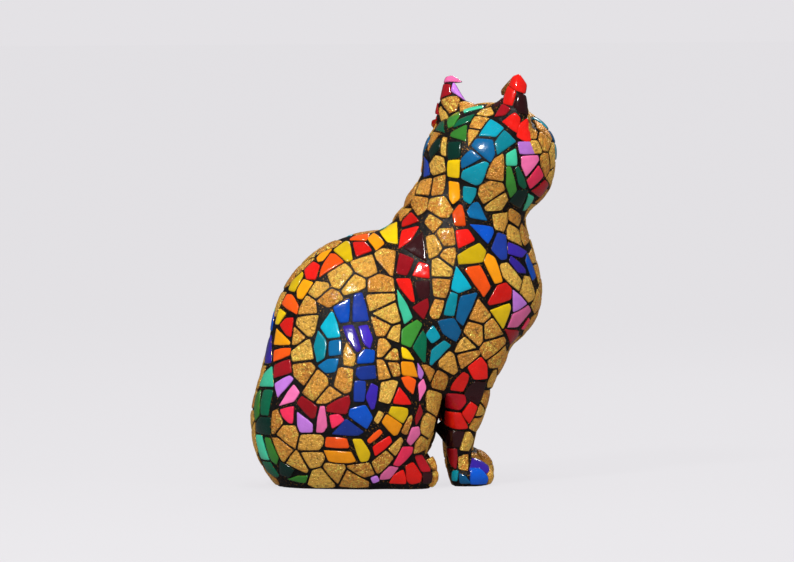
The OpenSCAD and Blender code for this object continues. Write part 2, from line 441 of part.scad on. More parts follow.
// The middles of the gold tiles, right and up in the drawing
BODY_GOLD = [
  [-44.5, 58.5], [-44.5, 49.5], [-37.5, 43.5], [-32.5, 38.5], [-27, 46.5], [-24.8, 57.5], [-9, 50.5],
  [-4, 52.5], [-7, 41.5], [-9.8, 30], [-9, 11], [-2, 17.5], [2.8, 26.5], [4.8, 36], [-56.5, 29],
  [-50.5, 22], [-41, 18.5], [-53.5, 16], [-40, 11.5], [-46, 9], [-30.5, 6], [-18.5, 7], [-36, 3.5],
  [-22, 2.5], [-43, 78], [-43, 70.5], [-47.5, 64.5], [-37.5, 86.5], [-32.5, 80.5], [-27.5, 91],
  [-21.5, 87], [-16, 96], [-7.5, 97.5], [-10.5, 87], [-10, 81], [-7, 75], [-10, 69], [-9, 60.5],
  [-4, 56], [40, 60], [42, 55], [27, 55], [26, 61], [31, 66.5], [39, 67.5], [33.5, 75], [16, 86],
  [14.5, 77], [16.5, 95], [20, 99.5], [13, 104.5], [18.5, 108], [11, 115], [15, 121], [5, 122.5],
  [9, 130.5], [15, 131.5], [42, 115], [50, 116.5], [48.5, 110], [53.5, 110], [47.5, 90], [55.5, 84.5],
  [59, 79], [20, 53],
];
HEAD_GOLD = [
  [14.5, 139], [16.8, 148.5], [11, 152.5], [15.5, 161], [20.5, 167], [36, 163.5], [32.5, 158.5],
  [29.5, 152], [40, 138], [38, 127.5], [42, 122.5], [62, 149.5], [62.5, 141], [65.5, 143], [57.5, 155],
  [62, 156], [57.5, 160.5],
];
FACE_GOLD = [
  [-7, -6.5], [-6.5, 10], [-11.5, 12.5], [-16.5, -4.5], [-11, -5], [-20, 9], [-4.2, 1], [-18.5, -1.5],
];
LEG_GOLD = [
  [39, 46], [36.5, 37], [33.5, 32], [32, 27], [28, 19.5], [26.5, 9], [16, 46], [14.5, 36.5],
];

// ---- tiles set on the form ----

// What the far side has in place of each colour of the near side
OPPOSITE = [
  ["red", "blue"], ["crimson", "navy"], ["maroon", "navy"], ["orange", "turquoise"], ["amber", "teal"],
  ["yellow", "mint"], ["rose", "violet"], ["pink", "lavender"], ["lavender", "pink"], ["violet", "rose"],
  ["navy", "crimson"], ["blue", "red"], ["turquoise", "orange"], ["teal", "amber"], ["petrol", "orange"],
  ["mint", "yellow"], ["green", "green"], ["forest", "forest"], ["pine", "pine"],
];
function swapped(c, part) =
  part == "body" ? OPPOSITE[search([c], OPPOSITE)[0]][1]
  : part == "leg" ? (c == "violet" ? "rose" : c == "blue" ? "red" : c == "teal" ? "blue" : c) : c;

function on_drawing(v, q) = v[3] + q.x * v[1] + q.y * v[2];
function middle(points) = points * 1 == points ? [for (k = [0:len(points[0]) - 1])
  [for (p = points) p[k]] * [for (p = points) 1] / len(points)] : points;
// A place on the form: where, across, along and out
function place(v, q) =
  let (c = fall("cat", on_drawing(v, q) + 110 * v[0], -v[0], 0), n = facing(c),
       lean = v[0] - (v[0] * n) * n, s0 = norm(lean) > 0.08 ? lean : v[2] - (v[2] * n) * n,
       s = s0 / norm(s0))
  [c, cross(s, n), s, n];
// A point of the drawing, laid on a place; a steep place stretches it, up to 2.5 times
function laid(v, at, d) =
  let (f0 = cross(v[0], at[1]), f = f0 / norm(f0), k = at[2] * f, steep = abs(k) > 0.4 ? k : sign(k) * 0.4)
  [d * at[1], d * f / steep];
function in_space(at, q) = at[0] + q.x * at[1] + q.y * at[2];

// Keeps what lies on the near side of a line, given as its direction out and its distance
function cut(points, line) = [for (i = [0:1:len(points) - 1])
  let (a = points[i], b = points[(i + 1) % len(points)], da = a * line[0] - line[1], db = b * line[0] - line[1])
  each concat(da <= 0 ? [a] : [], da * db < 0 ? [a + (b - a) * da / (da - db)] : [])];
function cut_all(points, lines, i = 0) =
  i == len(lines) || len(points) < 3 ? points : cut_all(cut(points, lines[i]), lines, i + 1);
function floor_line(at, up) = [[-at[1].z, -at[2].z], at[0].z + up * at[3].z - 0.3 - tile_t * max(at[3].z, 0)];
function area(points) = len(points) < 3 ? 0 : abs([for (i = [0:len(points) - 1])
  let (a = points[i], b = points[(i + 1) % len(points)]) (a.x * b.y - a.y * b.x) / 2]
  * [for (p = points) 1]);
// How far a tile is raised, so that no corner of its underside is in the core
function lift(at, points) = max(0, 0.05 - min([for (q = points)
  form(in_space(at, q) - tile_t * at[3]) + inset]));

// The form curves away from a flat tile. These lines keep the tile to where it parts from the form
// by no more than `most`.
function reach_lines(at, most) = [for (k = [0:7])
  let (o = [cos(45 * k), sin(45 * k)], parting = max(abs(form(in_space(at, 5 * o))), 0.05))
  [o, min(8, 5 * sqrt(most / parting))]];

// Keeps a tile to its own side of the body: -X of the middle where side is 1, +X where it is -1
function side_line(at, side) =
  [side * [at[1].x, at[2].x], -0.4 - side * at[0].x + tile_t * min(side * at[3].x, 0)];

// A set tile: part, colour, place and outline on that place
function set_tile(part, tile, v, side = 0) =
  let (c = middle(tile[1]), at = place(v, c), points = [for (q = tile[1])
         laid(v, at, (q.x - c.x) * v[1] + (q.y - c.y) * v[2])],
       own = side == 0 ? [] : [side_line(at, side)])
  [part, tile[0], at, cut_all(points, concat(own, reach_lines(at, part == "head" ? 3 : 1.8)))];
function repaint(tiles, part) = [for (t = tiles) [swapped(t[0], part), t[1]]];
function half_mirrored(tiles) = [for (t = tiles) [t[0], [for (q = t[1]) [-q.x, q.y]]]];
function steepness(at) = at[3] * flank[0];
function hidden(t) = steepness(t[2]) < 0.15;

// Every glass tile of the parts and colours asked for; undef asks for all
function wanted(tiles, c) = [for (t = tiles) if (is_undef(c) || t[0] == c) t];
function glass(part, c) =
  part == "body" ? concat(
    [for (t = wanted(BODY_TILES, c)) set_tile("body", t, flank, 1)],
    [for (t = wanted(BACK_TILES, c)) set_tile("body", t, flank)],
    [for (t = wanted(repaint(BODY_TILES, "body"), c)) if (middle(t[1]).y < 116)
      set_tile("body", t, across_body(flank), -1)])
  : part == "head" ? concat(
    [for (t = wanted(concat(HEAD_TILES, FAR_HEAD_TILES), c)) set_tile("head", t, flank)],
    [for (t = wanted(HEAD_TILES, c)) if (middle(t[1]).y > 126)
      let (s = set_tile("head", t, across_head(flank))) if (hidden(s)) s],
    [for (t = wanted(concat(FACE_TILES, half_mirrored(FACE_TILES), FACE_MIDDLE_TILES), c))
      set_tile("head", t, face)],
    [for (t = wanted(TEMPLE_TILES, c)) set_tile("head", t, temple)])
  : concat(
    [for (t = wanted(LEG_TILES, c)) set_tile("leg", t, flank)],
    [for (t = wanted(repaint(LEG_TILES, "leg"), c)) set_tile("leg", t, across_body(flank))]);

// The middles of the gold tiles drawn by hand, as places with their part
function gold_seeds() = concat(
  [for (q = BODY_GOLD) ["body", place(flank, q)]],
  [for (q = BODY_GOLD) ["body", place(across_body(flank), q)]],
  [for (q = HEAD_GOLD) ["head", place(flank, q)]],
  [for (q = HEAD_GOLD) let (at = place(across_head(flank), q)) if (steepness(at) < 0.15) ["head", at]],
  [for (q = FACE_GOLD, side = [-1, 1]) ["head", place(face, [side * q.x, q.y])]],
  [for (q = LEG_GOLD) ["leg", place(flank, q)]],
  [for (q = LEG_GOLD) ["leg", place(across_body(flank), q)]]
);

// Where a filling tile may stand: rings of places round the body, the head and each foreleg
function wobble(i, j) = sin(i * 97 + j * 61) * 0.5 + sin(i * 41 - j * 133) * 0.5;
function spot(c, dir, reach) =
  let (p = fall("cat", c + reach * dir, -dir, 0), n = facing(p), s0 = [0, 0, 1] - n.z * n,
       s = norm(s0) > 0.1 ? s0 / norm(s0) : cross([1, 0, 0], n) / norm(cross([1, 0, 0], n)))
  [p, cross(s, n), s, n];
function part_of(p) = p.z > 124 ? "head" : p.z < elbow_z && p.y < belly_y ? "leg" : "body";
function spots() = concat(
  [for (i = [0:31], j = [0:51])
    let (z = 4 + 3.7 * i + 0.8 * wobble(i, j), a = 360 * (j + i % 2 / 2 + 0.3 * wobble(j, i)) / 52)
    spot([0, lookup(z, body_axis), z], [cos(a), sin(a), 0], 90)],
  [for (i = [0:19], j = [0:35])
    let (e = -52 + 7.3 * i, a = 360 * (j + i % 2 / 2 + 0.3 * wobble(j, i)) / 36)
    spot(head_c, [cos(a) * cos(e), sin(a) * cos(e), sin(e)], 42)],
  [for (side = [-1, 1], i = [0:9], j = [0:15])
    let (a = 22.5 * (j + i % 2 / 2), dy = side > 0 ? left_leg_dy : 0)
    spot([side * leg_x, dy - 25, 3.5 + 3.6 * i], [cos(a), sin(a), 0], 22)]
);

function turn_of(points) = sign([for (i = [0:len(points) - 1])
  let (a = points[i], b = points[(i + 1) % len(points)]) a.x * b.y - a.y * b.x] * [for (p = points) 1]);
// The line along a glass tile's edge that faces a place, and how far off it is
function edge_line(at, t) =
  let (flat = [for (q = t[3]) let (d = in_space(t[2], q) - at[0]) [d * at[1], d * at[2]]], w = turn_of(flat),
       edges = [for (i = [0:len(flat) - 1])
         let (a = flat[i], d = flat[(i + 1) % len(flat)] - a, o = w * [d.y, -d.x] / max(norm(d), 0.01))
         [o, -a * o]],
       far = max([for (e = edges) e[1]]))
  [for (e = edges) if (e[1] == far) [-e[0], far]][0];
function near_tiles(at, tiles) =
  [for (t = tiles) if (norm(t[2][0] - at[0]) < 22 && t[2][3] * at[3] > -0.2 && len(t[3]) > 2) t];
// Whether a place has air in front of it, as the folds between the legs don't
function open(at) = form(at[0] + 5 * at[3]) > 3.7;
function room(at, tiles) = min(concat([99], [for (t = near_tiles(at, tiles)) edge_line(at, t)[1]]));
function free_of(at, kept) =
  len([for (k = kept) if (norm(k[1][0] - at[0]) < fill_gap) 1]) == 0;
function thinned(found, kept, tiles, i = 0) =
  i == len(found) ? kept
  : thinned(found,
      free_of(found[i], kept) && open(found[i]) && room(found[i], tiles) > 2.6
        ? concat(kept, [[part_of(found[i][0]), found[i]]]) : kept,
      tiles, i + 1);

// The outline of a gold tile: as far as half way to the next, and a joint short of any glass. Where
// the form is tightly curved the undersides lean together, and they are kept apart as well.
function gold_outline(i, seeds, tiles) =
  let (at = seeds[i][1], half = 7,
       others = [for (j = [0:len(seeds) - 1])
         let (d = seeds[j][1][0] - at[0], m = [d * at[1], d * at[2]], h = d * d / 2)
         if (j != i && norm(d) < 18 && norm(m) > 1)
         [m / norm(m), min(h / norm(m) - joint_w / 2, (h + tile_t * (d * at[3])) / norm(m) - 0.2)]],
       edges = [for (t = near_tiles(at, tiles))
         let (e = edge_line(at, t), lean = t[2][3] * (e[0].x * at[1] + e[0].y * at[2]))
         [e[0], e[1] - max(joint_w, tile_t * lean + 0.6)]])
  cut_all([[-half, -half], [half, -half], [half, half], [-half, half]],
    concat(reach_lines(at, 0.9), edges, others));

// A tile on its place, cut short of the floor; one smaller than `least` is left out
module set_prism(at, points, least) if (len(points) > 2) {
  up = lift(at, points);
  o = at[0] + (up - tile_t) * at[3];
  outline = cut(points, floor_line(at, up));
  if (area(outline) > least) multmatrix([
    [at[1].x, at[2].x, at[3].x, o.x], [at[1].y, at[2].y, at[3].y, o.y], [at[1].z, at[2].z, at[3].z, o.z],
    [0, 0, 0, 1]])
    linear_extrude(tile_t) polygon(outline);
}

module glass_tiles(part, c) for (t = glass(part, c)) set_prism(t[2], t[3], 4);

module gold_tiles(part) {
  tiles = [for (p = PARTS) each glass(p, undef)];
  drawn = [for (s = gold_seeds()) if (room(s[1], tiles) > 1.2) s];
  seeds = thinned(spots(), drawn, tiles);
  for (i = [0:len(seeds) - 1]) if (seeds[i][0] == part)
    set_prism(seeds[i][1], gold_outline(i, seeds, tiles), 7);
}

module tile_group(part, c) color(PAINT[search([c], PAINT)[0]][1]) {
  if (c == "gold") gold_tiles(part); else glass_tiles(part, c);
}

module figure() scale(figure_h / drawn_h) translate([0, centring_y, 0]) children();

figure() body_core();
figure() head_core();
figure() ear_core(1);  // right_ear
figure() ear_core(-1);  // left_ear
figure() foreleg_core("right_leg", -leg_x, 0);  // right_foreleg
figure() foreleg_core("left_leg", leg_x, left_leg_dy);  // left_foreleg
figure() neck_peg();
figure() ear_pegs();
figure() foreleg_pegs();
for (g = GROUPS) figure() tile_group(g[0], g[1]);
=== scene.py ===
import math
import random

import bmesh
import bpy
import numpy as np
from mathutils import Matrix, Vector, noise
from mathutils.bvhtree import BVHTree


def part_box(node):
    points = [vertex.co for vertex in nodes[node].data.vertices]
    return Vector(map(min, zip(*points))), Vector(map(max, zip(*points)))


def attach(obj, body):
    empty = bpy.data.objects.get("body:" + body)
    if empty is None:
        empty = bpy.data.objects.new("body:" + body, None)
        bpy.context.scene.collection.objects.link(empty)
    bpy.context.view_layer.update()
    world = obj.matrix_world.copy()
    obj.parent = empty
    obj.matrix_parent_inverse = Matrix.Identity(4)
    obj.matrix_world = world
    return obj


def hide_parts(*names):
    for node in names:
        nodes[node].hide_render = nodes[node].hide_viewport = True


# A seated cat covered in enamel and gold-leaf tiles, set in black grout. Sizes are in metres unless a name
# or a comment says otherwise.
MM = 0.001

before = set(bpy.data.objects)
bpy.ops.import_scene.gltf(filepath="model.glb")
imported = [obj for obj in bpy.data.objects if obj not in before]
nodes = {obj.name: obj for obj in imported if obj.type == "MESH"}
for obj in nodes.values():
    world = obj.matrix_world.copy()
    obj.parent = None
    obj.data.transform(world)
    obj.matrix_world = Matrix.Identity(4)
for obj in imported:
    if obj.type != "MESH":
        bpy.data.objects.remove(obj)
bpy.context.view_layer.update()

# ---------------------------------------------------------------- camera and studio

VIEW_AZIMUTH = math.radians(260)
VIEW_ELEVATION = math.radians(3)
CAMERA_DISTANCE = 5.0
VIEW_WIDTH = 0.347   # how much the picture shows across, at the figure
AIM_RIGHT = -0.0026  # where the camera looks, from the frame's origin
AIM_UP = 0.089
SENSOR = 36.0        # in millimetres, as the lens is
SIGHT_END = 50.0
LIT_POINT = Vector((0, 0, 0.09))


def direction(azimuth, elevation):
    """From the figure towards an eye at that azimuth and elevation, in radians."""
    return Vector((
        math.sin(azimuth) * math.cos(elevation),
        -math.cos(azimuth) * math.cos(elevation),
        math.sin(elevation),
    ))


def point_at(obj, target):
    """Turns a camera or light towards a point."""
    obj.rotation_euler = (Vector(target) - obj.location).to_track_quat("-Z", "Y").to_euler()


def make_camera():
    back = direction(VIEW_AZIMUTH, VIEW_ELEVATION)
    right = Vector((math.cos(VIEW_AZIMUTH), math.sin(VIEW_AZIMUTH), 0))
    up = back.cross(right)
    aim = AIM_RIGHT * right + AIM_UP * up
    data = bpy.data.cameras.new("camera")
    data.sensor_width = SENSOR
    data.lens = SENSOR * CAMERA_DISTANCE / VIEW_WIDTH
    data.clip_end = SIGHT_END
    camera = bpy.data.objects.new("camera", data)
    bpy.context.scene.collection.objects.link(camera)
    camera.location = aim + CAMERA_DISTANCE * back
    point_at(camera, aim)
    bpy.context.scene.camera = camera


def softbox(name, azimuth, elevation, distance, size, power, mirrored):
    """A square area light that looks at the middle of the figure. The glaze mirrors it or doesn't."""
    data = bpy.data.lights.new(name, "AREA")
    data.shape = "SQUARE"
    data.size = size
    data.energy = power
    light = bpy.data.objects.new(name, data)
    light.visible_glossy = mirrored
    bpy.context.scene.collection.objects.link(light)
    light.location = LIT_POINT + distance * direction(math.radians(azimuth), math.radians(elevation))
    point_at(light, LIT_POINT)


BACKDROP = (0.775, 0.76, 0.785)
FLOOR_ALBEDO = 0.06
FLOOR_HALF = 6.0
ROOM_IN_GLOSS = 0.12     # how bright the room is in reflections
ROOM_IN_DIFFUSE = 0.78   # and as soft light
FLOOR_IN_GLOSS = 0.08    # the same for the floor
FLOOR_IN_DIFFUSE = 0.75


def shown(tree, in_gloss, in_diffuse):
    """A brightness of 1 to the eye, and dimmer in reflections and as soft light."""
    path = tree.nodes.new("ShaderNodeLightPath")
    dimmed = tree.nodes.new("ShaderNodeMapRange")
    dimmed.inputs["To Min"].default_value = in_gloss
    dimmed.inputs["To Max"].default_value = in_diffuse
    tree.links.new(path.outputs["Is Diffuse Ray"], dimmed.inputs["Value"])
    brighter = tree.nodes.new("ShaderNodeMath")
    brighter.operation = "MAXIMUM"
    tree.links.new(dimmed.outputs["Result"], brighter.inputs[0])
    tree.links.new(path.outputs["Is Camera Ray"], brighter.inputs[1])
    return brighter.outputs["Value"]


def make_studio():
    """A pale room that looks bright to the camera and lights the figure softly, and four softboxes."""
    scene = bpy.context.scene
    scene.view_settings.view_transform = "Standard"
    world = bpy.data.worlds.new("studio")
    scene.world = world
    world.use_nodes = True
    tree = world.node_tree
    background = tree.nodes["Background"]
    background.inputs["Color"].default_value = (*BACKDROP, 1)
    tree.links.new(shown(tree, ROOM_IN_GLOSS, ROOM_IN_DIFFUSE), background.inputs["Strength"])
    softbox("key", azimuth=236, elevation=40, distance=0.9, size=0.11, power=4.8, mirrored=True)
    softbox("top", azimuth=285, elevation=74, distance=0.9, size=0.3, power=3.0, mirrored=False)
    softbox("fill", azimuth=310, elevation=15, distance=1.0, size=0.3, power=1.5, mirrored=False)
    softbox("rear", azimuth=60, elevation=35, distance=1.0, size=0.2, power=2.0, mirrored=True)


# ---------------------------------------------------------------- materials


class Paint:
    """Short names for building one material's node tree."""

    def __init__(self, name):
        self.material = bpy.data.materials.new(name)
        self.material.use_nodes = True
        self.tree = self.material.node_tree
        self.shader = self.tree.nodes["Principled BSDF"]
        self.place = self.tree.nodes.new("ShaderNodeTexCoord").outputs["Object"]

    def set(self, **values):
        """Constant values on the shader's own sockets; an underscore stands for a space."""
        for key, value in values.items():
            self.shader.inputs[key.replace("_", " ")].default_value = value

    def link(self, socket, target):
        self.tree.links.new(socket, self.shader.inputs[target])

    def noise(self, per_mm, detail=3.0, roughness=0.5, distortion=0.0):
        """Cloudy noise with per_mm lumps to the millimetre."""
        node = self.tree.nodes.new("ShaderNodeTexNoise")
        node.inputs["Scale"].default_value = per_mm / MM
        node.inputs["Detail"].default_value = detail
        node.inputs["Roughness"].default_value = roughness
        node.inputs["Distortion"].default_value = distortion
        self.tree.links.new(self.place, node.inputs["Vector"])
        return node.outputs["Fac"]

    def cells(self, per_mm, feature):
        node = self.tree.nodes.new("ShaderNodeTexVoronoi")
        node.feature = feature
        node.inputs["Scale"].default_value = per_mm / MM
        self.tree.links.new(self.place, node.inputs["Vector"])
        return node.outputs["Distance"]

    def attribute(self, name):
        node = self.tree.nodes.new("ShaderNodeAttribute")
        node.attribute_name = name
        return node.outputs["Fac"]

    def ramp(self, socket, stops):
        """Maps a value to colours, or to greys where a stop is a plain number."""
        node = self.tree.nodes.new("ShaderNodeValToRGB")
        elements = node.color_ramp.elements
        while len(elements) < len(stops):
            elements.new(0.5)
        for element, (position, colour) in zip(elements, stops):
            element.position = position
            element.color = (*colour, 1) if isinstance(colour, tuple) else (colour, colour, colour, 1)
        self.tree.links.new(socket, node.inputs["Fac"])
        return node.outputs["Color"]

    def maths(self, operation, a, b):
        node = self.tree.nodes.new("ShaderNodeMath")
        node.operation = operation
        self.tree.links.new(a, node.inputs[0])
        self.tree.links.new(b, node.inputs[1])
        return node.outputs["Value"]

    def mix(self, factor, a, b, blend="MIX"):
        node = self.tree.nodes.new("ShaderNodeMix")
        node.data_type = "RGBA"
        node.blend_type = blend
        for name, value in (("Factor_Float", factor), ("A_Color", a), ("B_Color", b)):
            socket = next(s for s in node.inputs if s.identifier == name)
            if isinstance(value, (int, float)):
                socket.default_value = value
            elif isinstance(value, tuple):
                socket.default_value = (*value, 1)
            else:
                self.tree.links.new(value, socket)
        return next(s for s in node.outputs if s.identifier == "Result_Color")

    def bump(self, height, strength, depth_mm):
        node = self.tree.nodes.new("ShaderNodeBump")
        node.inputs["Strength"].default_value = strength
        node.inputs["Distance"].default_value = depth_mm * MM
        self.tree.links.new(height, node.inputs["Height"])
        self.link(node.outputs["Normal"], "Normal")


def linear(rgb):
    """A colour as it looks, 0 to 255, as the shader's linear values."""
    return tuple((c / 255 / 12.92) if c < 10.3 else ((c / 255 + 0.055) / 1.055) ** 2.4 for c in rgb)


def scaled(rgb, factor):
    """A colour made lighter or darker."""
    return tuple(min(1.0, c * factor) for c in rgb)


# The enamels, as they look, 0 to 255
ENAMEL = {
    "red": (226, 22, 12),
    "crimson": (160, 12, 26),
    "maroon": (52, 14, 18),
    "orange": (250, 84, 6),
    "amber": (248, 152, 0),
    "yellow": (228, 190, 0),
    "rose": (232, 44, 84),
    "pink": (244, 112, 170),
    "lavender": (192, 120, 216),
    "violet": (58, 36, 168),
    "navy": (26, 56, 150),
    "blue": (0, 84, 200),
    "turquoise": (0, 172, 196),
    "teal": (0, 132, 148),
    "petrol": (4, 98, 150),
    "mint": (66, 204, 160),
    "green": (54, 130, 44),
    "forest": (0, 98, 66),
    "pine": (0, 46, 36),
}


def enamel(colour):
    """Glossy enamel: lighter or darker from tile to tile, clouded, with a painted shade at the rim, and with
    specks of gilt.
    """
    paint = Paint(colour + "_enamel")
    base = linear(ENAMEL[colour])
    shades = [(0.0, scaled(base, 0.72)), (0.5, base), (1.0, scaled(base, 1.22))]
    tone = paint.ramp(paint.attribute("tone"), shades)
    cloud = paint.ramp(paint.noise(0.22, 4), [(0.35, 0.86), (0.7, 1.0)])
    clouded = paint.mix(1.0, tone, cloud, "MULTIPLY")
    # Painted shade: the colour darkens towards the tile's rim, where it curves down into the grout.
    painted_rim_shade = paint.ramp(paint.attribute("rim"), [(0.0, 0.0), (0.88, 0.08), (1.0, 0.7)])
    rim_shaded = paint.mix(painted_rim_shade, clouded, scaled(base, 0.18))
    edge = paint.ramp(paint.attribute("rim"), [(0.86, 0.0), (0.97, 1.0)])
    specks = paint.ramp(paint.noise(0.9, 2), [(0.58, 0.0), (0.62, 1.0)])
    gilt = paint.maths("MULTIPLY", edge, specks)
    paint.link(paint.mix(gilt, rim_shaded, linear((214, 158, 66))), "Base Color")
    paint.link(gilt, "Metallic")
    paint.link(paint.ramp(paint.noise(0.6, 3), [(0.3, 0.16), (0.75, 0.3)]), "Roughness")
    paint.set(Specular_IOR_Level=0.2, Coat_Weight=0.9, Coat_Roughness=0.05, IOR=1.5)
    paint.bump(paint.noise(0.35, 3), 0.5, 0.35)
    return paint.material


def gold_leaf():
    """Crinkled gold leaf: bright ridges, dull brown hollows, painted glints of pale gold and a painted shade
    at the rim, each tile its own tone.
    """
    paint = Paint("gold_leaf")
    shades = [(0.0, linear((214, 136, 50))), (0.45, linear((240, 162, 62))), (1.0, linear((255, 196, 82)))]
    tone = paint.ramp(paint.attribute("tone"), shades)
    crinkle = paint.noise(0.5, 5, 0.58, 1.0)
    patina = paint.ramp(crinkle, [(0.36, 0.4), (0.44, 0.84), (0.54, 1.0)])
    leaf = paint.mix(1.0, tone, patina, "MULTIPLY")
    stain = paint.ramp(paint.noise(0.16, 4), [(0.52, 0.0), (0.74, 0.4)])
    stained = paint.mix(stain, leaf, linear((150, 88, 30)))
    # Painted highlight: streaks of pale gold that stay bright under any light; they are also a little more
    # metallic.
    glint_streaks = paint.ramp(paint.noise(0.6, 5, 0.62, 1.4), [(0.51, 0.0), (0.6, 1.0)])
    patches = paint.ramp(paint.noise(0.08, 2), [(0.4, 0.15), (0.54, 1.0)])
    painted_glint_flecks = paint.maths("MULTIPLY", glint_streaks, patches)
    with_painted_glints = paint.mix(painted_glint_flecks, stained, linear((255, 222, 96)))
    # Painted shade: darker brown towards the tile's rim, where it curves down into the grout.
    painted_rim_shade = paint.ramp(paint.attribute("rim"), [(0.0, 0.0), (0.85, 0.1), (1.0, 0.7)])
    paint.link(paint.mix(painted_rim_shade, with_painted_glints, linear((60, 34, 14))), "Base Color")
    paint.link(paint.ramp(painted_glint_flecks, [(0.0, 0.25), (1.0, 0.35)]), "Metallic")
    paint.link(paint.ramp(crinkle, [(0.35, 0.4), (0.65, 0.18)]), "Roughness")
    paint.set(Coat_Weight=0.2, Coat_Roughness=0.12)
    folds = paint.maths("ADD", paint.noise(0.7, 5, 0.65, 0.8), paint.cells(0.45, "DISTANCE_TO_EDGE"))
    paint.bump(folds, 1.0, 1.0)
    return paint.material


def grout():
    """Black grout with specks of gold pushed into it."""
    paint = Paint("black_grout")
    earth = paint.ramp(paint.noise(0.5, 5), [(0.35, linear((8, 7, 8))), (0.7, linear((24, 18, 15)))])
    specks = paint.ramp(paint.noise(1.3, 3), [(0.62, 0.0), (0.66, 1.0)])
    patches = paint.ramp(paint.noise(0.12, 2), [(0.46, 0.0), (0.6, 1.0)])
    gilt = paint.maths("MULTIPLY", specks, patches)
    paint.link(paint.mix(gilt, earth, linear((200, 140, 56))), "Base Color")
    paint.link(gilt, "Metallic")
    paint.link(paint.ramp(paint.noise(0.9, 3), [(0.3, 0.36), (0.7, 0.62)]), "Roughness")
    paint.set(Specular_IOR_Level=0.3)
    paint.bump(paint.noise(1.1, 5, 0.6), 0.8, 0.3)
    return paint.material


def peg_wood():
    """Plain turned wood, for the pegs inside."""
    paint = Paint("peg_wood")
    shades = [(0.35, linear((150, 104, 62))), (0.7, linear((196, 150, 100)))]
    paint.link(paint.ramp(paint.noise(0.3, 5, 0.6, 1.5), shades), "Base Color")
    paint.set(Roughness=0.6)
    paint.bump(paint.noise(0.8, 4), 0.4, 0.1)
    return paint.material


def pale_floor():
    """A pale floor that shows only a faint shadow, as under soft light from all round."""
    paint = Paint("pale_floor")
    glow = tuple(c * (1 - FLOOR_ALBEDO) for c in BACKDROP)
    grain = paint.ramp(paint.noise(0.01, 2), [(0.0, (0.98, 0.98, 0.98)), (1.0, (1.0, 1.0, 1.0))])
    paint.link(paint.mix(1.0, grain, (FLOOR_ALBEDO,) * 3, "MULTIPLY"), "Base Color")
    paint.set(Roughness=1.0, Specular_IOR_Level=0.0, Emission_Color=(*glow, 1))
    paint.link(shown(paint.tree, FLOOR_IN_GLOSS, FLOOR_IN_DIFFUSE), "Emission Strength")
    return paint.material


# ---------------------------------------------------------------- reading the frame

SAME_POINT = 0.002 * MM
FACES_DOWN = -0.6        # an ear's foot has facets whose normals lie below this
SAME_WAY = 0.999         # facets of one flat face have normals that agree at least this well
CORES = ["body_core", "head_core", "right_ear", "left_ear", "right_foreleg", "left_foreleg"]


def arrays(obj):
    """A node's corners, each once, and its triangles."""
    mesh = obj.data
    mesh.calc_loop_triangles()
    points = np.empty(len(mesh.vertices) * 3)
    mesh.vertices.foreach_get("co", points)
    points = points.reshape(-1, 3)
    faces = np.empty(len(mesh.loop_triangles) * 3, int)
    mesh.loop_triangles.foreach_get("vertices", faces)
    faces = faces.reshape(-1, 3)
    cells = np.round(points / SAME_POINT).astype(int)
    _, first, back = np.unique(cells, axis=0, return_index=True, return_inverse=True)
    return points[first], back.reshape(-1)[faces]


def islands(points, faces):
    """The separate solids of a node, each as its corners and triangles."""
    root = np.arange(len(points))
    changed = True
    while changed:
        low = root[faces].min(axis=1)
        before = root.copy()
        for column in range(3):
            np.minimum.at(root, faces[:, column], low)
        changed = not np.array_equal(before, root)
    owner = root[faces[:, 0]]
    return [(points, faces[owner == k]) for k in np.unique(owner)]


def core_arrays():
    """All cores as one mesh."""
    points, faces, count = [], [], 0
    for name in CORES:
        core_points, core_faces = arrays(nodes[name])
        points.append(core_points)
        faces.append(core_faces + count)
        count += len(core_points)
    return np.vstack(points), np.vstack(faces)


def facets(points, faces):
    """Each triangle's middle, area and normal."""
    a, b, c = (points[faces[:, k]] for k in range(3))
    cross = np.cross(b - a, c - a)
    area = np.linalg.norm(cross, axis=1)
    return (a + b + c) / 3, area, cross / np.maximum(area, 1e-18)[:, None]


def ear_seat(node):
    """The plane an ear stands on: the plane of its lowest facets, with its normal up into the ear."""
    middles, area, normals = facets(*arrays(nodes[node]))
    under = normals[:, 2] < FACES_DOWN
    normal = (normals[under] * area[under, None]).sum(axis=0)
    normal /= np.linalg.norm(normal)
    middle = (middles[under] * area[under, None]).sum(axis=0) / area[under].sum()
    return Vector(middle), -Vector(normal)


def flat_faces(points, faces):
    """A tile's flat faces, broadest first, each as its normal and its triangles."""
    _, area, normals = facets(points, faces)
    groups = []
    for k in np.argsort(-area):
        for group in groups:
            if normals[k] @ group[0] > SAME_WAY:
                group[1] += area[k]
                group[2].append(k)
                break
        else:
            groups.append([normals[k], area[k], [k]])
    groups.sort(key=lambda group: -group[1])
    return [(normal, members) for normal, _, members in groups]


def top_face(points, faces, surface):
    """A tile's outer face: its middle, its two directions, its normal, and its corners in order."""
    best = None
    for normal, members in flat_faces(points, faces)[:2]:
        corners = points[np.unique(faces[members])]
        middle = corners.mean(axis=0)
        distance = surface.find_nearest(Vector(middle))[3]
        if best is None or distance > best[0]:
            best = (distance, middle, normal, corners)
    _, middle, normal, corners = best
    across = np.cross(normal, (0.0, 0.0, 1.0))
    if np.linalg.norm(across) < 0.1:
        across = np.cross(normal, (1.0, 0.0, 0.0))  # for a level tile
    across /= np.linalg.norm(across)
    along = np.cross(normal, across)
    flat = np.column_stack([(corners - middle) @ across, (corners - middle) @ along])
    order = np.argsort(np.arctan2(flat[:, 1], flat[:, 0]))
    return middle, across, along, normal, flat[order]


# ---------------------------------------------------------------- tiles

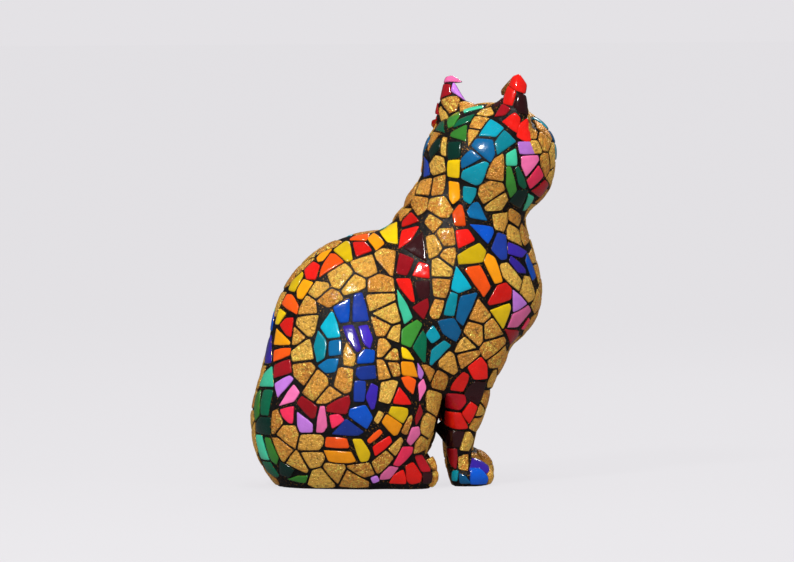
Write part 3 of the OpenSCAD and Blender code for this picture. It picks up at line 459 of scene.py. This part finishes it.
STAND = 1.8 * MM         # how far a tile's outer face lies off its core
CORNER = 0.8 * MM        # how far from a corner its rounding starts, at most
CORNER_SHARE = 0.36      # and at most this share of the edge
SPACING = 1.1 * MM       # between neighbouring points of an outline
GLASS_SPREAD = 0.4 * MM  # how far a tile swells over its cut edge
GOLD_SPREAD = 0.22 * MM
UNEVEN = 0.12 * MM       # how far its edge wanders
TILT_MOST = 0.03         # how far a tile leans, as a slope
SINK_MOST = 3.0 * MM     # how far a tile's points may lie under its flat face
RISE_MOST = 0.8 * MM     # and over it
PROBE_FROM = 3.0         # in millimetres: a probe for the core starts this far over the tile
PROBE_LENGTH = 12 * MM
PROBES_LEAST = 12        # with fewer hits than this, a tile stays flat
STEADY = 2.0             # how strongly the fitted curve is kept flat
# A tile's section: the share of the way in from the rim, and the depth under the crown in millimetres
GLASS_RINGS = [(0.0, 1.3), (0.0, 0.5), (0.02, 0.3), (0.06, 0.15), (0.14, 0.07), (0.34, 0.02), (0.62, 0.0)]
GOLD_RINGS = [
    (0.0, 1.3), (0.0, 0.48), (0.03, 0.26), (0.09, 0.13), (0.2, 0.08), (0.36, 0.04), (0.54, 0.02), (0.74, 0.0),
]


def off_corner(corner, neighbour):
    """The point on an edge where the rounding of its corner starts."""
    edge = neighbour - corner
    length = np.linalg.norm(edge)
    return corner + edge / max(length, 1e-9) * min(CORNER, CORNER_SHARE * length)


def rounded(flat, spread, rng):
    """A tile's outline with its corners rounded off and its edges slightly uneven."""
    count = len(flat)
    outline = []
    for i in range(count):
        here, before, after = flat[i], flat[i - 1], flat[(i + 1) % count]
        start = off_corner(here, before)
        end = off_corner(here, after)
        for t in (0.0, 0.33, 0.67, 1.0):
            outline.append((1 - t) ** 2 * start + 2 * t * (1 - t) * here + t ** 2 * end)
        following = off_corner(after, here)
        steps = int(np.linalg.norm(following - end) / SPACING)
        for k in range(1, steps):
            outline.append(end + (following - end) * k / steps)
    outline = np.array(outline)
    reach = np.linalg.norm(outline, axis=1, keepdims=True)
    uneven = np.array([rng.uniform(-1.0, 1.0) for _ in outline])
    uneven = (uneven + np.roll(uneven, 1) + np.roll(uneven, -1)) / 3
    return outline * (1 + (spread + UNEVEN * uneven[:, None]) / np.maximum(reach, 1 * MM))


def curvature(middle, across, along, normal, flat, surface):
    """How the core curves under a tile, as a smooth quadratic, and how high the tile sits on it."""
    samples, heights = [], []
    for scale in (0.05, 0.4, 0.7, 1.0):
        for x, y in flat * scale:
            start = middle + across * x + along * y + normal * PROBE_FROM * MM
            distance = surface.ray_cast(Vector(start), Vector(-normal), PROBE_LENGTH)[3]
            if distance is not None:
                x, y = x / MM, y / MM
                samples.append((1, x, y, x * x, x * y, y * y))
                heights.append(PROBE_FROM - distance / MM)
    if len(samples) < PROBES_LEAST:
        return np.zeros(6), STAND
    fitted = np.array(samples)
    steady = np.diag([0, 0, 0, STEADY, STEADY, STEADY])
    solution = np.linalg.solve(fitted.T @ fitted + steady, fitted.T @ np.array(heights))
    return solution, -solution[0] * MM


def dents(x, y, gold, seed):
    """The small unevenness of a tile's face, deeper on gold leaf, in millimetres."""
    at = Vector((x / MM, y / MM, seed))
    if gold:
        return noise.noise(at * 0.9) * 0.14 + noise.noise(at * 2.1) * 0.07 - 0.08
    return noise.noise(at * 0.4) * 0.06 - 0.04


def tile_faces(count, rings):
    """Faces that join the rings of a tile, close its crown round the last point, and close its back."""
    faces = []
    for ring in range(rings - 1):
        for j in range(count):
            a = ring * count + j
            b = ring * count + (j + 1) % count
            faces.append((a, b, b + count, a + count))
    last = (rings - 1) * count
    for j in range(count):
        faces.append((last + j, last + (j + 1) % count, rings * count))
    faces.append(tuple(range(count - 1, -1, -1)))
    return faces


def tile_mesh(face, surface, gold, rng):
    """One tile's points, faces and rim values."""
    middle, across, along, normal, flat = face
    outline = rounded(flat, GOLD_SPREAD if gold else GLASS_SPREAD, rng)
    bend, stand = curvature(middle, across, along, normal, outline, surface)
    settle = min(max(stand - STAND, 0.0), SINK_MOST)
    tilt = (rng.uniform(-TILT_MOST, TILT_MOST), rng.uniform(-TILT_MOST, TILT_MOST))
    seed = rng.uniform(0, 50)
    points, rims = [], []

    def add(x, y, depth, rim):
        u, v = x / MM, y / MM
        follow = MM * (bend[1] * u + bend[2] * v + bend[3] * u * u + bend[4] * u * v + bend[5] * v * v)
        follow = min(max(follow, -SINK_MOST), RISE_MOST)
        height = follow - settle - depth * MM
        if rim < 1.0:
            height += tilt[0] * x + tilt[1] * y
            height += dents(x, y, gold, seed) * MM
        points.append(middle + across * x + along * y + normal * height)
        rims.append(rim)

    rings = GOLD_RINGS if gold else GLASS_RINGS
    for inward, depth in rings:
        for x, y in outline * (1 - inward):
            add(x, y, depth, max(0.0, 1 - inward * 6))
    add(0.0, 0.0, 0.0, 0.0)
    return points, tile_faces(len(outline), len(rings)), rims


def new_piece(name, points, faces, material, slot, *replaced):
    """A mesh object that rides on the root and stands for CAD nodes."""
    mesh = bpy.data.meshes.new(name)
    mesh.from_pydata([tuple(p) for p in points], [], faces)
    mesh.polygons.foreach_set("use_smooth", [True] * len(mesh.polygons))
    mesh.materials.append(material)
    obj = bpy.data.objects.new(name, mesh)
    bpy.context.scene.collection.objects.link(obj)
    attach(obj, "root")
    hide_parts(*replaced)
    return obj


def float_attribute(obj, name, values):
    attribute = obj.data.attributes.new(name, "FLOAT", "POINT")
    attribute.data.foreach_set("value", np.array(values, np.float32))


def make_tiles(node, surface, materials):
    """Every tile of a CAD tile node, remade with a swelling face, softened edges and the core's curve."""
    colour = node.split("_")[1]
    gold = colour == "gold"
    rng = random.Random(node)
    points, faces, rims, tones = [], [], [], []
    for solid in islands(*arrays(nodes[node])):
        more_points, more_faces, more_rims = tile_mesh(top_face(*solid, surface), surface, gold, rng)
        offset = len(points)
        points += more_points
        faces += [tuple(k + offset for k in face) for face in more_faces]
        rims += more_rims
        tones += [rng.random()] * len(more_points)
    slot = "gold_leaf" if gold else colour + "_enamel"
    obj = new_piece(node.replace("_tiles", "_mosaic"), points, faces, materials[colour], slot, node)
    float_attribute(obj, "rim", rims)
    float_attribute(obj, "tone", tones)
    return obj


# ---------------------------------------------------------------- grout

GROUT_VOXEL = 0.9 * MM
GROUT_RISE = 1.15 * MM   # how far the grout stands off the core, between the tiles
GROUT_ROUGH = 0.09 * MM
SMOOTH_TIMES = 5
SMOOTHING = 0.6
COVER_MOST = 3.0 * MM    # how deep under the skin a tile is still found
BELOW_TILE = 0.5 * MM    # how far under a tile's face the skin is pressed
SAME_SIDE = 0.3          # a tile's outer face and the skin over it have normals that agree this well
EASE_TIMES = 5
EASE = 0.9
CREASE = math.radians(60)
COARSE_LUMPS = 900       # of the grout's roughness, to the metre
FINE_LUMPS = 2100


def grout_skin():
    """The cores as one skin, smoothed, grown to between the tiles, and roughened."""
    points, faces = core_arrays()
    mesh = bpy.data.meshes.new("source")
    mesh.from_pydata(points.tolist(), [], faces.tolist())
    source = bpy.data.objects.new("source", mesh)
    bpy.context.scene.collection.objects.link(source)
    remesh = source.modifiers.new("remesh", "REMESH")
    remesh.mode = "VOXEL"
    remesh.voxel_size = GROUT_VOXEL
    smooth = source.modifiers.new("smooth", "SMOOTH")
    smooth.factor = SMOOTHING
    smooth.iterations = SMOOTH_TIMES
    evaluated = source.evaluated_get(bpy.context.evaluated_depsgraph_get())
    skin = bpy.data.meshes.new_from_object(evaluated)
    bpy.data.objects.remove(source)
    co = np.empty(len(skin.vertices) * 3)
    skin.vertices.foreach_get("co", co)
    co = co.reshape(-1, 3)
    out = np.empty(len(skin.vertices) * 3)
    skin.vertex_normals.foreach_get("vector", out)
    out = out.reshape(-1, 3)
    coarse = np.array([noise.noise(Vector(p) * COARSE_LUMPS) for p in co])
    fine = np.array([noise.noise(Vector(p) * FINE_LUMPS) for p in co])
    co += out * (GROUT_RISE + (coarse + 0.5 * fine) * GROUT_ROUGH)[:, None]
    co[:, 2] = np.maximum(co[:, 2], 0.0)
    skin.vertices.foreach_set("co", co.reshape(-1))
    return skin


def press_under(skin, pieces):
    """Lowers the skin wherever it would cover a tile, and eases the skin round that place."""
    points, faces = [], []
    for piece in pieces:
        offset = len(points)
        points += [v.co for v in piece.data.vertices]
        faces += [[offset + k for k in face.vertices] for face in piece.data.polygons]
    tiles = BVHTree.FromPolygons(points, faces)
    drop = np.zeros(len(skin.vertices))
    normals = [Vector(v.vector) for v in skin.vertex_normals]
    for k, vertex in enumerate(skin.vertices):
        _, facing, _, distance = tiles.ray_cast(vertex.co, -normals[k], COVER_MOST)
        if distance is not None and facing.dot(normals[k]) > SAME_SIDE:
            drop[k] = distance + BELOW_TILE
    edges = np.empty(len(skin.edges) * 2, int)
    skin.edges.foreach_get("vertices", edges)
    ends = edges.reshape(-1, 2)
    share = np.bincount(edges, minlength=len(drop))
    for _ in range(EASE_TIMES):
        near = np.bincount(ends[:, 0], drop[ends[:, 1]], len(drop))
        near += np.bincount(ends[:, 1], drop[ends[:, 0]], len(drop))
        drop = np.maximum(drop, EASE * near / np.maximum(share, 1))
    for k in np.nonzero(drop > 0)[0]:
        skin.vertices[k].co -= normals[k] * drop[k]
        skin.vertices[k].co.z = max(skin.vertices[k].co.z, 0.0)


def cut_off(bm, plane_co, plane_no):
    """Removes what lies on the plane's normal side, and closes the cut."""
    everything = bm.verts[:] + bm.edges[:] + bm.faces[:]
    cut = bmesh.ops.bisect_plane(
        bm, geom=everything, dist=1e-7, plane_co=plane_co, plane_no=plane_no, clear_outer=True)
    edges = [e for e in cut["geom_cut"] if isinstance(e, bmesh.types.BMEdge)]
    if edges:
        bmesh.ops.triangle_fill(bm, use_beauty=True, use_dissolve=False, edges=edges)


def grout_piece(skin, name, node, material, planes):
    """The part of the skin behind every plane, as one core's grout."""
    bm = bmesh.new()
    bm.from_mesh(skin)
    for plane_co, plane_no in planes:
        cut_off(bm, plane_co, plane_no)
    bmesh.ops.recalc_face_normals(bm, faces=bm.faces[:])
    bm.verts.index_update()
    points = [v.co.copy() for v in bm.verts]
    faces = [tuple(v.index for v in face.verts) for face in bm.faces]
    bm.free()
    piece = new_piece(name, points, faces, material, "black_grout", node)
    piece.data.set_sharp_from_angle(angle=CREASE)


def make_grout(material, mosaic):
    """The grout, cut into one piece for each core and two for the body."""
    skin = grout_skin()
    press_under(skin, mosaic)
    foreleg_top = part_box("right_foreleg")[1]
    neck = Vector((0, 0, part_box("head_core")[0].z))
    elbow = Vector((0, 0, foreleg_top.z))
    belly = Vector((0, foreleg_top.y, 0))
    middle = Vector((0, 0, 0))
    x, y, z = Vector((1, 0, 0)), Vector((0, 1, 0)), Vector((0, 0, 1))
    right_seat, right_up = ear_seat("right_ear")
    left_seat, left_up = ear_seat("left_ear")
    # Each piece with its core, and the planes it lies behind. The body is what the others leave: above the
    # elbows all round, and below them behind the forelegs.
    for name, node, planes in (
        ("head_grout", "head_core", [(neck, -z), (right_seat, right_up), (left_seat, left_up)]),
        ("right_ear_grout", "right_ear", [(right_seat, -right_up)]),
        ("left_ear_grout", "left_ear", [(left_seat, -left_up)]),
        ("right_foreleg_grout", "right_foreleg", [(elbow, z), (belly, y), (middle, x)]),
        ("left_foreleg_grout", "left_foreleg", [(elbow, z), (belly, y), (middle, -x)]),
        ("chest_grout", "body_core", [(neck, z), (elbow, -z)]),
        ("haunch_grout", "body_core", [(elbow, z), (belly, -y)]),
    ):
        grout_piece(skin, name, node, material, planes)
    bpy.data.meshes.remove(skin)


def make_floor():
    mesh = bpy.data.meshes.new("floor")
    corners = [(x * FLOOR_HALF, y * FLOOR_HALF, 0) for x, y in ((-1, -1), (1, -1), (1, 1), (-1, 1))]
    mesh.from_pydata(corners, [], [(0, 1, 2, 3)])
    mesh.materials.append(pale_floor())
    floor = bpy.data.objects.new("floor", mesh)
    bpy.context.scene.collection.objects.link(floor)


# ---------------------------------------------------------------- the figure

make_camera()
make_studio()
make_floor()

core_points, core_faces = core_arrays()
core = BVHTree.FromPolygons(core_points.tolist(), core_faces.tolist())
finishes = {colour: enamel(colour) for colour in ENAMEL}
finishes["gold"] = gold_leaf()
mosaic = [make_tiles(name, core, finishes) for name in sorted(nodes) if name.endswith("_tiles")]
make_grout(grout(), mosaic)
wood = peg_wood()
for name in sorted(nodes):
    if "peg" in name:
        nodes[name].data.materials.clear()
        nodes[name].data.materials.append(wood)

bpy.context.view_layer.update()
